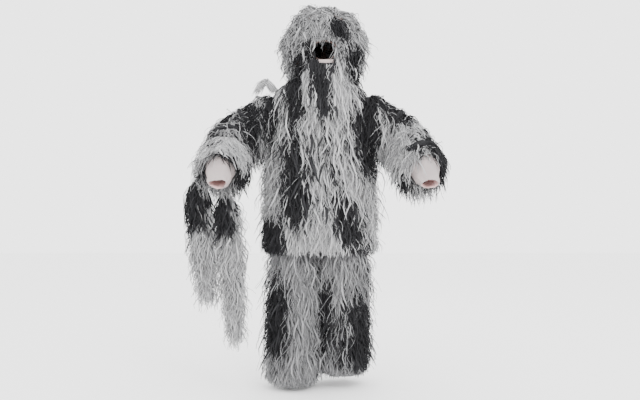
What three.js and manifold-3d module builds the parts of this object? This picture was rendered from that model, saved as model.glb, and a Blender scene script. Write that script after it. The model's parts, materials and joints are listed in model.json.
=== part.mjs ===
// Snow ghillie suit: a hood with a face veil, a jacket with a snap front, trousers, and a long yarn wrap
// laid over the wearer's right forearm. Each garment is a mesh net carrying a thick pile of yarn, so its
// walls are soft shells about as thick as the matted pile.
// Millimetres. +Z is up, the suit faces -Y, and the wearer's right arm is on the -X side.
// Heights below are above the wearer's soles. The whole suit is lowered at the end, so that its origin is
// the centre of the neck opening, where it rests on the wearer.
import * as THREE from 'three';
import { mergeVertices } from 'three/addons/utils/BufferGeometryUtils.js';
import Module from 'manifold-3d';

const wasm = await Module();
wasm.setup();

// Cloth and pile
const SEAM = 0.3;                 // gap between sewn neighbours
const PILE = 22;                  // matted yarn on the jacket
const LINING = 2.5;               // mesh net behind the pile
const SIDES = 20;                 // facets around every garment tube

// Heights
const NECK_HEIGHT = 1485;
const HOOD_RIM = 1497;
const CROWN_HEIGHT = 1830;
const BODY_CUT = 935;             // jacket body above, skirt below
const SKIRT_HEM = 675;
const CAPE_EDGE = 1432;
const HIP_HEIGHT = 865;
const KNEE_HEIGHT = 480;
const WAIST_HEIGHT = 1050;

// Outline of the jacket: [height, half width, half depth]. Its front is upright where the snaps are.
const CHEST_DEPTH = 176;
const NECK_HALF = [108, 106];
const BODY_OUTLINE = [
  [SKIRT_HEM, 266, 188],
  [780, 262, 184],
  [BODY_CUT, 250, CHEST_DEPTH],
  [1060, 243, CHEST_DEPTH],
  [1200, 232, CHEST_DEPTH],
  [1300, 218, CHEST_DEPTH],
  [1380, 205, 160],
  [CAPE_EDGE, 190, 140],
  [1460, 150, 122],
  [NECK_HEIGHT, ...NECK_HALF],
];

// Outline of the hood: [height above its rim, half width, half depth]. It leans to the wearer's left.
const HOOD_SHIFT = 6;             // of the middle of its rim
const HOOD_LEAN = 26;             // of its crown beyond its rim
const HOOD_WALL = 24;
const HOOD_MOUTH = NECK_HALF[0] + 10;   // half width inside its rim, clear of the collar
const HOOD_TURN = 293;            // where the inside of the crown turns flat
const HOOD_NET_GAP = 1;
const HOOD_HEIGHT = CROWN_HEIGHT - HOOD_RIM;
const HOOD_OUTLINE = [
  [0, HOOD_MOUTH + HOOD_WALL, HOOD_MOUTH + HOOD_WALL],
  [43, 162, 154],
  [103, 179, 165],
  [163, 184, 168],
  [223, 172, 160],
  [271, 144, 136],
  [309, 92, 88],
  [HOOD_HEIGHT, 0, 0],
];
const EYE_CENTRE = [19, 1607];    // across, height
const EYE_HALF = [62, 47];        // half width, half height
const EYE_BINDING = 5;
const EYE_BINDING_DEPTH = 18;
const HOOD_CORD = 5;

// Face veil
const VEIL_TOP = 1543;
const VEIL_BOTTOM = 1305;
const VEIL_PILE = 22;
const VEIL_CLEARANCE = 3;
const VEIL_BEND = 300;            // half width of the oval that the veil is bent around
const VEIL_HALF_WIDTHS = [62, 88, 84, 56, 18];   // from its top to its tip
const VEIL_BAND = [20, 4];        // height, thickness

// Snap front: a cloth flap with pile on it covers the snaps, and swings on its sewn edge
const SNAP_COUNT = 4;
const SNAP_RADIUS = 6.5;
const SNAP_THICK = 3;
const SNAP_FIRST = 985;
const SNAP_STEP = 92;
const PLACKET_HALF = 20;
const PLACKET_LOW = BODY_CUT + 5;
const PLACKET_HIGH = 1292;
const PLACKET_CLOTH = 2;
const FLAP_SWING = 3;             // gap at the flap's free edge, so that its thickness clears as it opens

// Collar and hanging loop
const COLLAR_HEIGHT = 42;
const COLLAR_WALL = 8;
const COLLAR_INSET = 7;
const LOOP_WIDTH = 70;
const LOOP_RISE = 26;
const LOOP_STRAP = 3;
const LOOP_TAPE = 8;

// Cape of the hood, on the shoulders
const CAPE_THICK = 14;
const CAPE_CLEARANCE = 1;
const CAPE_DROP = 5;              // of its upper edge, below the neck opening

// Trousers
const SEAT_HALF = [206, 146];
const SEAT_WALL = 9;
const SEAT_CUT = 932;
const BAND_WALL = 4;
const BAND_HEIGHT = 40;
const ELASTIC = 2;
const ELASTIC_HEIGHT = 26;
const DRAWCORD = 5;
const CROTCH_GAP = 6;             // between the seat and the tops of the legs
const LEG_WALL = 20;
const LEG_OUTLINE = [             // [distance below the seat, half width, half depth]
  [0, 104, 110],
  [150, 107, 114],
  [340, 114, 122],
  [820, 119, 125],
];
const HIP_GAP = 82;               // from the hip's axis down to the pile of the thigh
const KNEE_GAP = 88;              // from the knee's axis to the pile above and below it
const RIGHT_LEG = { hip: [-110, 0], hem: [-138, -22, 46] };
const LEFT_LEG = { hip: [104, 0], hem: [117, 30, 86] };
const ANKLE_RISE = 30;
const ANKLE_ELASTIC = [22, 4];    // height, thickness

// Sleeves: shoulder pivot, elbow and cuff mouth
const SHOULDER = [207, 0, 1342];
const ARM_ROOT = 75;              // how far the sleeve's line runs on inside the jacket
const SLEEVE_RADIUS = 92;
const FOREARM_RADIUS = 84;
const SLEEVE_WALL = 20;
const SHOULDER_SPLIT = 232;       // the sleeve's pile starts at this upright plane, clear of the jacket
const ELBOW_GAP = 78;
const ELBOW_STEPS = 6;
const CUFF_SHOW = 92;             // length of under-cuff that shows past the pile
const CUFF_RADIUS = 60;
const CUFF_TURN = [47, 18];       // radius where the mouth starts to close, and its distance from the mouth
const CUFF_MOUTH = 33;
const CUFF_CLOTH = 2.5;
const CUFF_ELASTIC = [9, 3];      // height, thickness
const RIGHT_ARM = { elbow: [-420, -60, 1208], mouth: [-443, -360, 1008] };
const LEFT_ARM = { elbow: [405, -50, 1212], mouth: [482, -330, 1009] };

// Yarn wrap over the right forearm: a saddle of net, and two bunched tails
const WRAP_CLEARANCE = 2;
const WRAP_THICK = 22;
const WRAP_LENGTH = 120;
const WRAP_AT = 215;              // from the elbow to the wrap's middle
const WRAP_GAP = [-519, -440];    // the saddle is open below, between these places across
const WRAP_TAILS = {
  outer: { at: [-535, -198], outline: [[1030, 12], [998, 13], [938, 40], [850, 47], [600, 42], [462, 14]] },
  inner: { at: [-404, -198], outline: [[955, 22], [915, 46], [840, 52], [600, 50], [400, 34], [262, 12]] },
};

// Colours
const matte = (color, roughness) => new THREE.MeshStandardMaterial({ color, roughness, metalness: 0 });
const WHITE_YARN = matte(0xb4b4b6, 0.95);
const GREY_YARN = matte(0x97989b, 0.95);
const BLACK_YARN = matte(0x1f1f22, 0.95);
const PALE_CLOTH = matte(0xd8cfcb, 0.8);
const DARK_NET = matte(0x2a2522, 0.85);
const PALE_NET = matte(0xc9c9c7, 0.85);
const ELASTIC_WEB = matte(0xd6d6d2, 0.7);
const SNAP_METAL = new THREE.MeshStandardMaterial({ color: 0x8c8c8e, roughness: 0.35, metalness: 1 });

const UP = new THREE.Vector3(0, 0, 1);
const LEFTWARD = new THREE.Vector3(1, 0, 0);      // to the wearer's left
const FAR = 2000;
const FULL_RADIUS = 1000;         // lathe radius that stands for an inset of nothing
const vec = (values) => new THREE.Vector3(...values);
const facetDepth = (depth) => depth * Math.cos(Math.PI / SIDES);   // of the flat facet at front or back

// Half width and half depth of an outline at a height, straight between its stations
function sizeAt(outline, height) {
  const below = Math.max(outline.findLastIndex((station) => station[0] <= height), 0);
  const low = outline[below];
  const high = outline[Math.min(below + 1, outline.length - 1)];
  const share = high === low ? 0 : THREE.MathUtils.clamp((height - low[0]) / (high[0] - low[0]), 0, 1);
  return [1, 2].map((k) => THREE.MathUtils.lerp(low[k], high[k], share));
}

// Splits the lathe's quads where its profile runs down the other way, so that the inside of one wall and
// the outside of the wall within it have the same creases.
function matchCreases(lathe, points) {
  const index = lathe.index.array;
  for (let i = 0; i < index.length; i += 6) {
    const [a, b, d, c] = index.slice(i, i + 4);
    const place = a % points.length;
    if (points[place + 1].y < points[place].y) {
      index.set([a, b, c, a, c, d], i);
    }
  }
}

// A form is a spine with an oval outline around it. sweep turns a lathe of [inset, height] points into the
// solid that follows that outline. An inset of null is a point on the spine, and a facet faces the front.
function sweep(form, profile) {
  const points = profile.map(([inset, height]) => (
    new THREE.Vector2(inset === null ? 0 : FULL_RADIUS - inset, height)));
  const lathe = new THREE.LatheGeometry(points, SIDES, Math.PI / SIDES);
  matchCreases(lathe, points);
  const position = lathe.attributes.position;
  const corner = new THREE.Vector3();
  const length = form.spine.getLength();
  for (let i = 0; i < position.count; i++) {
    corner.fromBufferAttribute(position, i);
    const height = corner.y;
    const radius = Math.hypot(corner.x, corner.z);
    const share = THREE.MathUtils.clamp(height / length, 0, 1);
    const place = form.spine.getPointAt(share);
    const along = form.spine.getTangentAt(share);
    const across = form.across.clone().addScaledVector(along, -form.across.dot(along)).normalize();
    const deep = across.clone().cross(along);
    if (radius > 1) {
      const inset = FULL_RADIUS - radius;
      const [halfWidth, halfDepth] = sizeAt(form.outline, height);
      place.addScaledVector(across, (halfWidth - inset) * (corner.x / radius));
      place.addScaledVector(deep, (halfDepth - inset) * (corner.z / radius));
    }
    position.setXYZ(i, place.x, place.y, place.z);
  }
  return lathe;
}

const stations = (form, low, high) => [
  low,
  ...form.outline.map(([height]) => height).filter((height) => height > low && height < high),
  high,
];

// A hollow length of a form: outset is how far it stands out from the outline
function tube(form, low, high, wall, outset = 0) {
  const heights = stations(form, low, high);
  const outer = heights.map((height) => [-outset, height]);
  const inner = heights.map((height) => [wall - outset, height]).reverse();
  return sweep(form, [...outer, ...inner, outer[0]]);
}

// A filled length of a form
function filled(form, low, high, outset = 0) {
  const wallPoints = stations(form, low, high).map((height) => [-outset, height]);
  return sweep(form, [[null, low], ...wallPoints, [null, high]]);
}

// Booleans
function solidOf(geometry) {
  const bare = geometry.clone();
  bare.deleteAttribute('normal');
  bare.deleteAttribute('uv');
  const merged = mergeVertices(bare, 1e-3);
  const corners = merged.index.array;
  const kept = [];
  for (let i = 0; i < corners.length; i += 3) {
    const [a, b, c] = corners.slice(i, i + 3);
    if (a !== b && b !== c && c !== a) {
      kept.push(a, b, c);
    }
  }
  const vertProperties = merged.attributes.position.array;
  return new wasm.Manifold(new wasm.Mesh({ numProp: 3, vertProperties, triVerts: new Uint32Array(kept) }));
}

function geometryOf(solid) {
  const mesh = solid.getMesh();
  const geometry = new THREE.BufferGeometry();
  geometry.setAttribute('position', new THREE.BufferAttribute(mesh.vertProperties, mesh.numProp));
  geometry.setIndex(new THREE.BufferAttribute(mesh.triVerts, 1));
  return geometry;
}

const cut = (geometry, ...tools) => (
  geometryOf(tools.reduce((left, tool) => left.subtract(solidOf(tool)), solidOf(geometry))));
const join = (first, second) => geometryOf(solidOf(first).add(solidOf(second)));
const keep = (geometry, tool) => geometryOf(solidOf(geometry).intersect(solidOf(tool)));

function block(low, high) {
  const size = high.map((value, k) => value - low[k]);
  const middle = high.map((value, k) => (value + low[k]) / 2);
  return new THREE.BoxGeometry(...size).translate(...middle);
}

// Extrudes an outline drawn in X and Z, from a front Y to a back Y
function frontExtrude(shape, front, back) {
  const geometry = new THREE.ExtrudeGeometry(shape, {
    depth: back - front,
    bevelEnabled: false,
    curveSegments: 10,
  });
  return geometry.rotateX(Math.PI / 2).translate(0, back, 0);
}

const suit = new THREE.Group();
suit.position.z = -NECK_HEIGHT;

function add(name, geometry, material) {
  const mesh = new THREE.Mesh(geometry, material);
  mesh.name = name;
  suit.add(mesh);
}

// Forms of the jacket body, the trousers' seat and the hood
const upright = new THREE.LineCurve3(vec([0, 0, 0]), vec([0, 0, CROWN_HEIGHT]));
const leaning = new THREE.LineCurve3(
  vec([HOOD_SHIFT, 0, HOOD_RIM]),
  vec([HOOD_SHIFT + HOOD_LEAN, 0, CROWN_HEIGHT]),
);
const BODY = { spine: upright, across: LEFTWARD, outline: BODY_OUTLINE };
const SEAT = { spine: upright, across: LEFTWARD, outline: [[0, ...SEAT_HALF]] };
const HOOD = { spine: leaning, across: LEFTWARD, outline: HOOD_OUTLINE };

// Forms of an arm: upper sleeve from inside the shoulder, bend at the elbow, forearm and under-cuff
function armForms(side, { elbow, mouth }) {
  const shoulder = vec(SHOULDER);
  shoulder.x *= side;
  const elbowPoint = vec(elbow);
  const inward = shoulder.clone().sub(elbowPoint).normalize();
  const root = shoulder.clone().addScaledVector(inward, ARM_ROOT);
  const upperLine = new THREE.LineCurve3(root, elbowPoint);
  const foreLine = new THREE.LineCurve3(elbowPoint, vec(mouth));
  const upperLength = upperLine.getLength();
  const foreLength = foreLine.getLength();
  const pileEnd = foreLength - CUFF_SHOW;
  const bendSpine = new THREE.QuadraticBezierCurve3(
    upperLine.getPointAt((upperLength - ELBOW_GAP + SEAM) / upperLength),
    elbowPoint,
    foreLine.getPointAt((ELBOW_GAP - SEAM) / foreLength),
  );
  const bendOutline = [];
  for (let i = 0; i <= ELBOW_STEPS; i++) {
    const radius = THREE.MathUtils.lerp(SLEEVE_RADIUS, FOREARM_RADIUS, i / ELBOW_STEPS);
    bendOutline.push([bendSpine.getLength() * i / ELBOW_STEPS, radius, radius]);
  }
  const cuffOutline = [
    [pileEnd, CUFF_RADIUS],
    [pileEnd + CUFF_SHOW / 3, CUFF_RADIUS],
    [foreLength - CUFF_TURN[1], CUFF_TURN[0]],
    [foreLength, CUFF_MOUTH],
  ];
  return {
    upper: { spine: upperLine, across: UP, outline: [[0, SLEEVE_RADIUS, SLEEVE_RADIUS]] },
    bend: { spine: bendSpine, across: UP, outline: bendOutline },
    fore: { spine: foreLine, across: UP, outline: [[0, FOREARM_RADIUS, FOREARM_RADIUS]] },
    cuff: { spine: foreLine, across: UP, outline: cuffOutline.map(([at, radius]) => [at, radius, radius]) },
    upperLength,
    foreLength,
    pileEnd,
    bendLength: bendSpine.getLength(),
  };
}
const ARMS = { right: armForms(-1, RIGHT_ARM), left: armForms(1, LEFT_ARM) };

// Jacket body: pile outside and net behind it, cut at the side seams and at the snap front. Each armhole
// is as wide as the inside of the sleeve. Above the flap the left front runs across to the right one.
const armholes = Object.values(ARMS).map(({ upper, upperLength }) => (
  filled(upper, 0, upperLength, -SLEEVE_WALL)));
const backHalf = block([-FAR, SEAM / 2, 0], [FAR, FAR, FAR]);
const rightFront = block([-FAR, -FAR, 0], [-PLACKET_HALF, -SEAM / 2, FAR]);
const leftFront = join(
  block([PLACKET_HALF, -FAR, 0], [FAR, -SEAM / 2, FAR]),
  block([SEAM - PLACKET_HALF, -FAR, PLACKET_HIGH + SEAM], [FAR, -SEAM / 2, FAR]),
);
const bodyPile = cut(tube(BODY, BODY_CUT, NECK_HEIGHT, PILE), ...armholes);
const bodyNet = cut(tube(BODY, BODY_CUT, NECK_HEIGHT, LINING, -PILE - SEAM), ...armholes);
for (const [part, half] of Object.entries({
  back: backHalf, right_front: rightFront, left_front: leftFront,
})) {
  add(`jacket_${part}_pile`, keep(bodyPile, half), WHITE_YARN);
  add(`jacket_${part}_lining`, keep(bodyNet, half), PALE_NET);
}

// Snap front, from the wearer outwards: underlap, studs, sockets, flap cloth and flap pile
const underlapInset = PILE - PLACKET_CLOTH;
const flapInset = underlapInset - PLACKET_CLOTH - 2 * SNAP_THICK - 3 * SEAM;
function frontStrip(inset, wall, freeGap) {
  const layer = tube(BODY, BODY_CUT, NECK_HEIGHT, wall, -inset);
  const low = [freeGap - PLACKET_HALF, -FAR, PLACKET_LOW];
  return keep(layer, block(low, [PLACKET_HALF - SEAM, -SEAM, PLACKET_HIGH]));
}
add('front_underlap', frontStrip(underlapInset, PLACKET_CLOTH, SEAM), PALE_CLOTH);
add('flap_cloth', frontStrip(flapInset, PLACKET_CLOTH, FLAP_SWING), PALE_CLOTH);
add('flap_pile', frontStrip(0, flapInset - SEAM, FLAP_SWING), WHITE_YARN);

// A snap half is a turned disc with a bevelled rim, and its inner face is as far forward as out says
function snapHalf(out, height) {
  const rim = SNAP_THICK / 3;
  const profile = [
    [0, 0],
    [SNAP_RADIUS, 0],
    [SNAP_RADIUS, SNAP_THICK - rim],
    [SNAP_RADIUS - rim, SNAP_THICK],
    [0, SNAP_THICK],
  ].map(([radius, rise]) => new THREE.Vector2(radius, rise));
  return new THREE.LatheGeometry(profile, 16).rotateX(Math.PI).translate(0, -out, height);
}
const studOut = facetDepth(CHEST_DEPTH - underlapInset) + SEAM;
for (let i = 0; i < SNAP_COUNT; i++) {
  const height = SNAP_FIRST + i * SNAP_STEP;
  add(`snap_stud_${i + 1}`, snapHalf(studOut, height), SNAP_METAL);
  add(`snap_socket_${i + 1}`, snapHalf(studOut + SNAP_THICK + SEAM, height), SNAP_METAL);
}

// Legs of the trousers: each form runs from the hip down to the hem, and down() turns a height into a
// distance along it
function legForm({ hip, hem }) {
  const top = vec([...hip, SEAT_CUT - CROTCH_GAP]);
  const spine = new THREE.LineCurve3(top, vec(hem));
  const length = spine.getLength();
  return {
    form: { spine, across: LEFTWARD, outline: LEG_OUTLINE },
    length,
    down: (height) => (top.z - height) * length / (top.z - hem[2]),
  };
}
const LEGS = { right: legForm(RIGHT_LEG), left: legForm(LEFT_LEG) };

// Skirt of the jacket, which opens at the front, hangs clear of the legs and gives way to the thighs
const legBulk = Object.values(LEGS).map(({ form, length }) => filled(form, 0, length, SEAM));
const skirt = cut(tube(BODY, SKIRT_HEM, BODY_CUT - SEAM, PILE), ...legBulk);
add('jacket_right_skirt', keep(skirt, block([-FAR, -FAR, 0], [-SEAM / 2, FAR, FAR])), WHITE_YARN);
add('jacket_left_skirt', keep(skirt, block([SEAM / 2, -FAR, 0], [FAR, FAR, FAR])), WHITE_YARN);

// Stand collar inside the hood, and the hanging loop that is sewn to its back
const collarTop = NECK_HEIGHT + COLLAR_HEIGHT;
add('collar', tube(BODY, NECK_HEIGHT + SEAM, collarTop, COLLAR_WALL, -COLLAR_INSET), PALE_CLOTH);
const loopShape = new THREE.Shape();
const loopFoot = collarTop + SEAM;
loopShape.moveTo(-LOOP_WIDTH / 2, loopFoot);
loopShape.lineTo(LOOP_STRAP - LOOP_WIDTH / 2, loopFoot);
loopShape.lineTo(LOOP_STRAP - LOOP_WIDTH / 2, loopFoot + LOOP_RISE - LOOP_STRAP);
loopShape.lineTo(LOOP_WIDTH / 2 - LOOP_STRAP, loopFoot + LOOP_RISE - LOOP_STRAP);
loopShape.lineTo(LOOP_WIDTH / 2 - LOOP_STRAP, loopFoot);
loopShape.lineTo(LOOP_WIDTH / 2, loopFoot);
loopShape.lineTo(LOOP_WIDTH / 2, loopFoot + LOOP_RISE);
loopShape.lineTo(-LOOP_WIDTH / 2, loopFoot + LOOP_RISE);
const loopBack = facetDepth(sizeAt(BODY_OUTLINE, NECK_HEIGHT)[1] - COLLAR_INSET);
add('hanging_loop', frontExtrude(loopShape, loopBack - LOOP_TAPE, loopBack), ELASTIC_WEB);

// Sleeves, gussets and cuffs. A gusset is the soft length that bends at a joint. The one at the shoulder
// ends on the jacket's outline.
const jacketBulk = filled(BODY, BODY_CUT, NECK_HEIGHT, SEAM);
const midway = (halfWidth) => block([-halfWidth, -FAR, 0], [halfWidth, FAR, FAR]);
for (const [side, arm] of Object.entries(ARMS)) {
  const sleeve = tube(arm.upper, 0, arm.upperLength - ELBOW_GAP, SLEEVE_WALL);
  const gusset = keep(sleeve, midway(SHOULDER_SPLIT - SEAM));
  add(`${side}_shoulder_gusset`, cut(gusset, jacketBulk), WHITE_YARN);
  add(`${side}_upper_sleeve`, cut(sleeve, midway(SHOULDER_SPLIT)), BLACK_YARN);
  add(`${side}_elbow_gusset`, tube(arm.bend, 0, arm.bendLength, SLEEVE_WALL), WHITE_YARN);
  add(`${side}_forearm_sleeve`, tube(arm.fore, ELBOW_GAP, arm.pileEnd, SLEEVE_WALL), WHITE_YARN);
  const cuffStart = arm.pileEnd - CUFF_SHOW;
  add(`${side}_under_cuff`, tube(arm.cuff, cuffStart, arm.foreLength, CUFF_CLOTH), PALE_CLOTH);
  const elasticEnd = arm.foreLength - SEAM;
  const [elasticHeight, elasticWall] = CUFF_ELASTIC;
  const elastic = tube(arm.cuff, elasticEnd - elasticHeight, elasticEnd, elasticWall, -CUFF_CLOTH - SEAM);
  add(`${side}_cuff_elastic`, elastic, ELASTIC_WEB);
}

// Hood: a dome of pile with a net behind it, open below and at the eyes
function innerDome(inset) {
  const wallPoints = stations(HOOD, 0, HOOD_TURN).map((height) => [inset, height]);
  return [...wallPoints, [null, HOOD_HEIGHT - inset]];
}
function ellipse(halfWidth, halfHeight) {
  return new THREE.Shape().absellipse(...EYE_CENTRE, halfWidth, halfHeight, 0, 2 * Math.PI);
}
const crown = [
  ...stations(HOOD, 0, HOOD_HEIGHT).slice(0, -1).map((height) => [0, height]),
  [null, HOOD_HEIGHT],
];
const eyeCut = frontExtrude(ellipse(...EYE_HALF), -FAR, -SEAM);
const netInset = HOOD_WALL + HOOD_NET_GAP;
const dome = (outer, inner) => cut(sweep(HOOD, [...outer, ...inner.reverse(), outer[0]]), eyeCut);
add('hood_pile', dome(crown, innerDome(HOOD_WALL)), WHITE_YARN);
add('hood_lining', dome(innerDome(netInset), innerDome(netInset + LINING)), DARK_NET);
const eyeRing = ellipse(EYE_HALF[0] - SEAM, EYE_HALF[1] - SEAM);
eyeRing.holes.push(ellipse(EYE_HALF[0] - EYE_BINDING, EYE_HALF[1] - EYE_BINDING));
const eyeFront = -facetDepth(sizeAt(HOOD_OUTLINE, EYE_CENTRE[1] - HOOD_RIM)[1] - HOOD_WALL / 3);
add('eye_opening_binding', frontExtrude(eyeRing, eyeFront, eyeFront + EYE_BINDING_DEPTH), DARK_NET);
const cordInset = netInset + LINING + SEAM;
add('hood_drawcord', tube(HOOD, 0, HOOD_CORD, HOOD_CORD, -cordInset), ELASTIC_WEB);

// Cape of the hood, which lies on the jacket's shoulders and is cut around the sleeves
const sleeveBulk = Object.values(ARMS).map(({ upper, upperLength }) => (
  filled(upper, 0, upperLength, CAPE_CLEARANCE)));
const capeOut = CAPE_CLEARANCE + CAPE_THICK;
const cape = tube(BODY, CAPE_EDGE, NECK_HEIGHT - CAPE_DROP, CAPE_THICK, capeOut);
add('hood_cape', cut(cape, ...sleeveBulk), WHITE_YARN);

// Face veil: a tongue of pile below a cloth band, bent around the face and standing clear of the chest
const veilOut = VEIL_CLEARANCE + VEIL_PILE;
const bandTop = VEIL_TOP + SEAM + VEIL_BAND[0];
const VEIL = {
  spine: new THREE.LineCurve3(vec([EYE_CENTRE[0], 0, 0]), vec([EYE_CENTRE[0], 0, CROWN_HEIGHT])),
  across: LEFTWARD,
  outline: [
    [VEIL_BOTTOM, VEIL_BEND, CHEST_DEPTH + veilOut],
    [bandTop, VEIL_BEND, sizeAt(HOOD_OUTLINE, bandTop - HOOD_RIM)[1] + veilOut],
  ],
};
const veilShape = new THREE.Shape();
const veilSide = VEIL_HALF_WIDTHS.map((halfWidth, i) => new THREE.Vector2(
  EYE_CENTRE[0] + halfWidth,
  THREE.MathUtils.lerp(VEIL_TOP, VEIL_BOTTOM, i / (VEIL_HALF_WIDTHS.length - 1)),
));
const otherSide = veilSide.map(({ x, y }) => new THREE.Vector2(2 * EYE_CENTRE[0] - x, y)).reverse();
veilShape.moveTo(veilSide[0].x, veilSide[0].y);
veilShape.splineThru(veilSide.slice(1));
veilShape.lineTo(otherSide[0].x, otherSide[0].y);
veilShape.splineThru(otherSide.slice(1));
const veilSheet = tube(VEIL, VEIL_BOTTOM, bandTop, VEIL_PILE);
add('veil_pile', keep(veilSheet, frontExtrude(veilShape, -FAR, -SEAM)), BLACK_YARN);
const bandSheet = tube(VEIL, VEIL_TOP + SEAM, bandTop, VEIL_BAND[1], VEIL_BAND[1] - VEIL_PILE);
const bandBlock = block(
  [EYE_CENTRE[0] - VEIL_HALF_WIDTHS[0], -FAR, 0],
  [EYE_CENTRE[0] + VEIL_HALF_WIDTHS[0], -SEAM, FAR],
);
add('veil_band', keep(bandSheet, bandBlock), PALE_CLOTH);

// Trousers: seat, waistband with its elastic and drawcord, and two legs
const bandLow = WAIST_HEIGHT - BAND_HEIGHT;
const inBand = -BAND_WALL - SEAM;
add('trousers_seat', tube(SEAT, SEAT_CUT, bandLow - SEAM, SEAT_WALL), GREY_YARN);
add('waistband', tube(SEAT, bandLow, WAIST_HEIGHT, BAND_WALL), PALE_CLOTH);
add('waist_drawcord', tube(SEAT, bandLow, bandLow + DRAWCORD, DRAWCORD, inBand), ELASTIC_WEB);
add('waist_elastic', tube(SEAT, WAIST_HEIGHT - ELASTIC_HEIGHT, WAIST_HEIGHT, ELASTIC, inBand), ELASTIC_WEB);
for (const [side, { form: leg, length, down }] of Object.entries(LEGS)) {
  const thighStart = down(HIP_HEIGHT - HIP_GAP);
  const kneeStart = down(KNEE_HEIGHT + KNEE_GAP);
  const kneeEnd = down(KNEE_HEIGHT - KNEE_GAP);
  add(`${side}_hip_gusset`, tube(leg, 0, thighStart - SEAM, LEG_WALL), GREY_YARN);
  add(`${side}_thigh`, tube(leg, thighStart, kneeStart, LEG_WALL), GREY_YARN);
  add(`${side}_knee_gusset`, tube(leg, kneeStart + SEAM, kneeEnd - SEAM, LEG_WALL), GREY_YARN);
  add(`${side}_shin`, tube(leg, kneeEnd, length, LEG_WALL), GREY_YARN);
  const elasticEnd = length - ANKLE_RISE;
  const [elasticHeight, elasticWall] = ANKLE_ELASTIC;
  const elastic = tube(leg, elasticEnd - elasticHeight, elasticEnd, elasticWall, -LEG_WALL - SEAM);
  add(`${side}_ankle_elastic`, elastic, ELASTIC_WEB);
}

// Yarn wrap: a saddle around the forearm, open below, and a tail that hangs from each of its ends
const wrapOut = WRAP_CLEARANCE + WRAP_THICK;
const rightFore = ARMS.right.fore;
const wrapMiddle = rightFore.spine.getPointAt(WRAP_AT / ARMS.right.foreLength);
const saddle = tube(rightFore, WRAP_AT - WRAP_LENGTH / 2, WRAP_AT + WRAP_LENGTH / 2, WRAP_THICK, wrapOut);
const saddleGap = block([WRAP_GAP[0], -FAR, 0], [WRAP_GAP[1], FAR, wrapMiddle.z]);
add('wrap_saddle', cut(saddle, saddleGap), BLACK_YARN);
for (const [place, { at, outline }] of Object.entries(WRAP_TAILS)) {
  const rising = outline.map(([height, radius]) => [height, radius, radius]).reverse();
  const line = new THREE.LineCurve3(vec([...at, 0]), vec([...at, CROWN_HEIGHT]));
  const tail = { spine: line, across: LEFTWARD, outline: rising };
  add(`wrap_${place}_tail`, filled(tail, rising[0][0], rising[rising.length - 1][0]), WHITE_YARN);
}

export default suit;
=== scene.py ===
import json
import math

import bpy
import numpy as np
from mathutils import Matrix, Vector


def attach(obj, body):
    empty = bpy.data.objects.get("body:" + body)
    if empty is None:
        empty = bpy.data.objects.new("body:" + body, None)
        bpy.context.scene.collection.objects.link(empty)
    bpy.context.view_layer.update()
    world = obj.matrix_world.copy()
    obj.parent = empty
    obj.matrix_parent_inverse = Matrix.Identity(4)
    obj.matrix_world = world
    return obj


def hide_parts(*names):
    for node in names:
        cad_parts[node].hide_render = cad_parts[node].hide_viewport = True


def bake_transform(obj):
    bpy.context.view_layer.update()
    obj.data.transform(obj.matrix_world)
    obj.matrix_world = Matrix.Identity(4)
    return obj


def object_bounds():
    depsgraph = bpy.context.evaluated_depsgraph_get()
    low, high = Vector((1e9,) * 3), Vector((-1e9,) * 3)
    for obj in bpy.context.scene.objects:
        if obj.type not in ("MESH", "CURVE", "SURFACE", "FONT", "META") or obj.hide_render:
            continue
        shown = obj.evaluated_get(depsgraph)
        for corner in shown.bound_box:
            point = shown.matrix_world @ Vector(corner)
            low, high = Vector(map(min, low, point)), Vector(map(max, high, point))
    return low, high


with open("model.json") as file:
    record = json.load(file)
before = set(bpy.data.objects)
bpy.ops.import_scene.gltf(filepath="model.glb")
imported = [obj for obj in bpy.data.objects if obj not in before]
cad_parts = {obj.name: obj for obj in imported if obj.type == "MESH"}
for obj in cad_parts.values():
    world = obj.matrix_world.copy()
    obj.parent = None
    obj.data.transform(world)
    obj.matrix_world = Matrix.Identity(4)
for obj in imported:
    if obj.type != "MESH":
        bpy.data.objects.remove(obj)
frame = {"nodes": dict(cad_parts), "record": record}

# Snow ghillie suit, in metres. +Z is up, the suit faces -Y, and the wearer's right arm is on the -X side.
# The origin is the middle of the neck opening, and heights are measured from it.
# Every garment is a mesh net with yarn tied all over it. Each is drawn as a folded ground of matted yarn,
# with loose locks and single yarns hanging from it.

CAD_BOX = [list(corner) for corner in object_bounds()]
ROOM = np.array(CAD_BOX) + np.array([[-1], [1]]) * (0.02 * np.ptp(np.array(CAD_BOX), axis=0) + 0.006)
ROOM[0, 2] = CAD_BOX[0][2]
FLOOR = CAD_BOX[0][2] - 0.003     # under the hems

# Camera, floor and light: a level view from the front. The floor is pale paper just under the hems, and
# three soft lamps and a white surround light the suit.

camera_data = bpy.data.cameras.new("camera")
camera_data.lens = 42.4
camera_data.sensor_width = 36
camera = bpy.data.objects.new("camera", camera_data)
camera.location = (0, -3.6, -0.5625)
camera.rotation_euler = (math.pi / 2, 0, 0)
bpy.context.collection.objects.link(camera)
bpy.context.scene.camera = camera


def principled(name, colour, roughness, metallic=0.0):
    """A material with one Principled shader, returned with its tree and its shader."""
    material = bpy.data.materials.new(name)
    material.use_nodes = True
    tree = material.node_tree
    shader = tree.nodes["Principled BSDF"]
    shader.inputs["Base Color"].default_value = (*colour, 1)
    shader.inputs["Roughness"].default_value = roughness
    shader.inputs["Metallic"].default_value = metallic
    return material, tree, shader


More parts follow.
